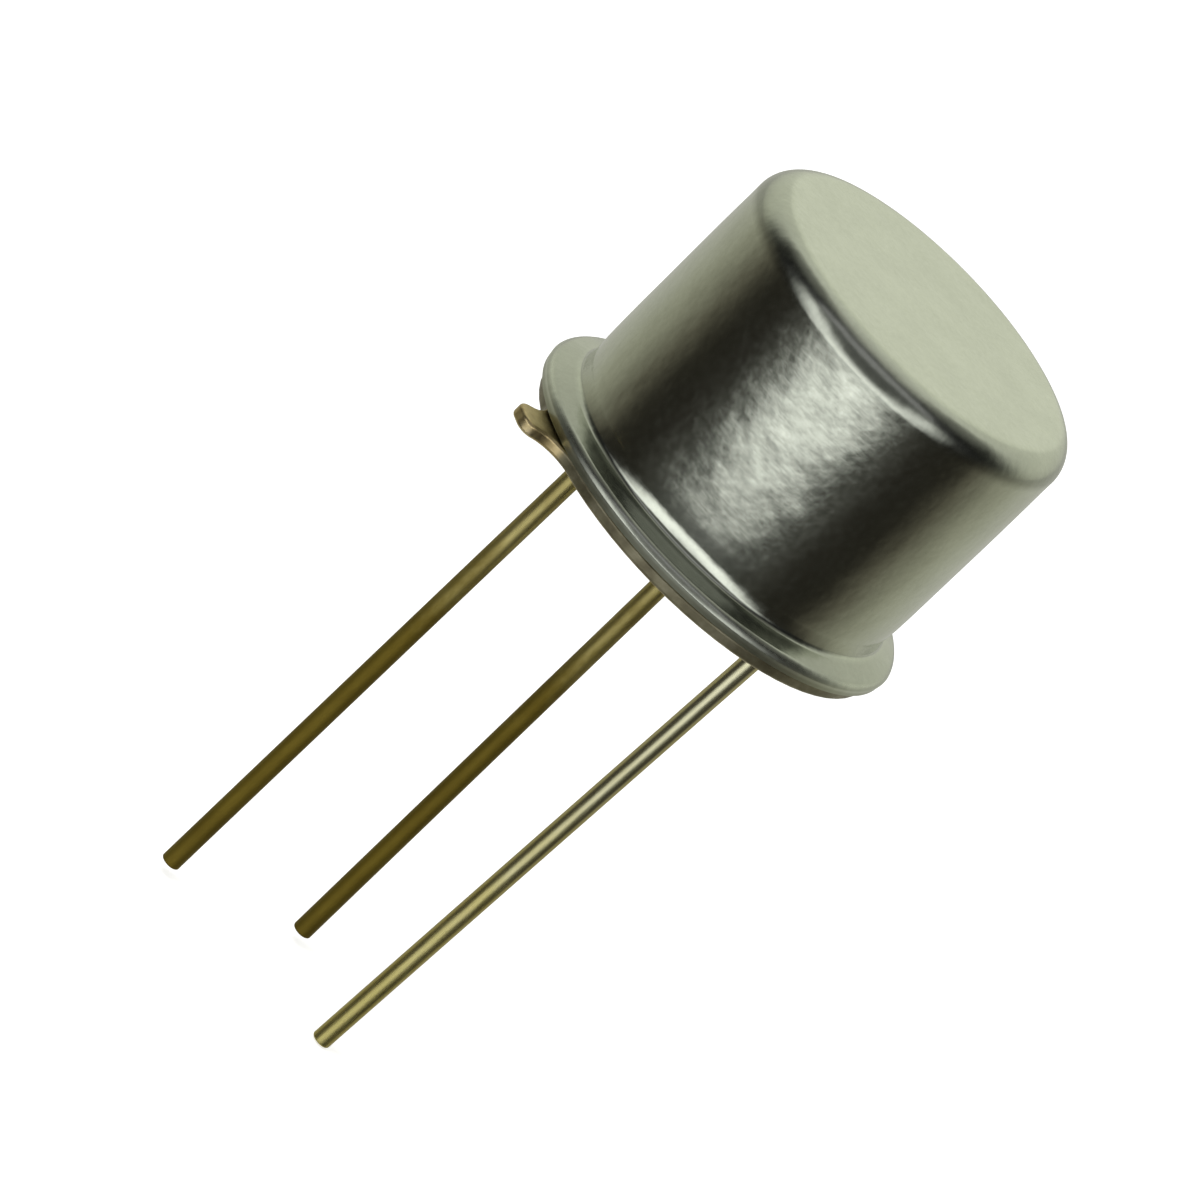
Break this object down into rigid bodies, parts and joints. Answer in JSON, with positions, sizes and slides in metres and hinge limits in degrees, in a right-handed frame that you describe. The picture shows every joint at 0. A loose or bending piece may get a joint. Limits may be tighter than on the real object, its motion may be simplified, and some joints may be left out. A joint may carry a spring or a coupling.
{
  "type": "bipolar transistor",
  "caption": "Bipolar transistor in a flanged round metal can with an index tab and wire leads, with its sealed header, chip and bond wires inside.",
  "frame": {"origin": "centre of the seating plane, the underside of the header's flange, on the can's axis", "axes": "+Z along the can's axis from the leads to the closed end; emitter lead at -X, base lead at +Y, collector lead at +X, index tab between -X and -Y"},
  "size_m": [0.0094, 0.0094, 0.0199],
  "materials": {
    "nickel_plated_steel": "satin nickel plate over drawn steel",
    "gold_plated_header": "thin gold plate over a stamped nickel-iron alloy",
    "gold_plated_lead": "thin gold plate over drawn nickel-iron wire",
    "seal_glass": "fused dark sealing glass",
    "gold_tin_solder": "dull, reflowed",
    "silicon": "polished",
    "aluminium_wire": "bright drawn"
  },
  "bodies": {
    "root": {"cap": "nickel_plated_steel", "header": "gold_plated_header", "emitter_lead": "gold_plated_lead", "base_lead": "gold_plated_lead", "collector_lead": "gold_plated_lead", "emitter_glass_seal": "seal_glass", "base_glass_seal": "seal_glass", "die_attach": "gold_tin_solder", "silicon_die": "silicon", "emitter_bond_wire": "aluminium_wire", "base_bond_wire": "aluminium_wire"}
  },
  "joints": []
}
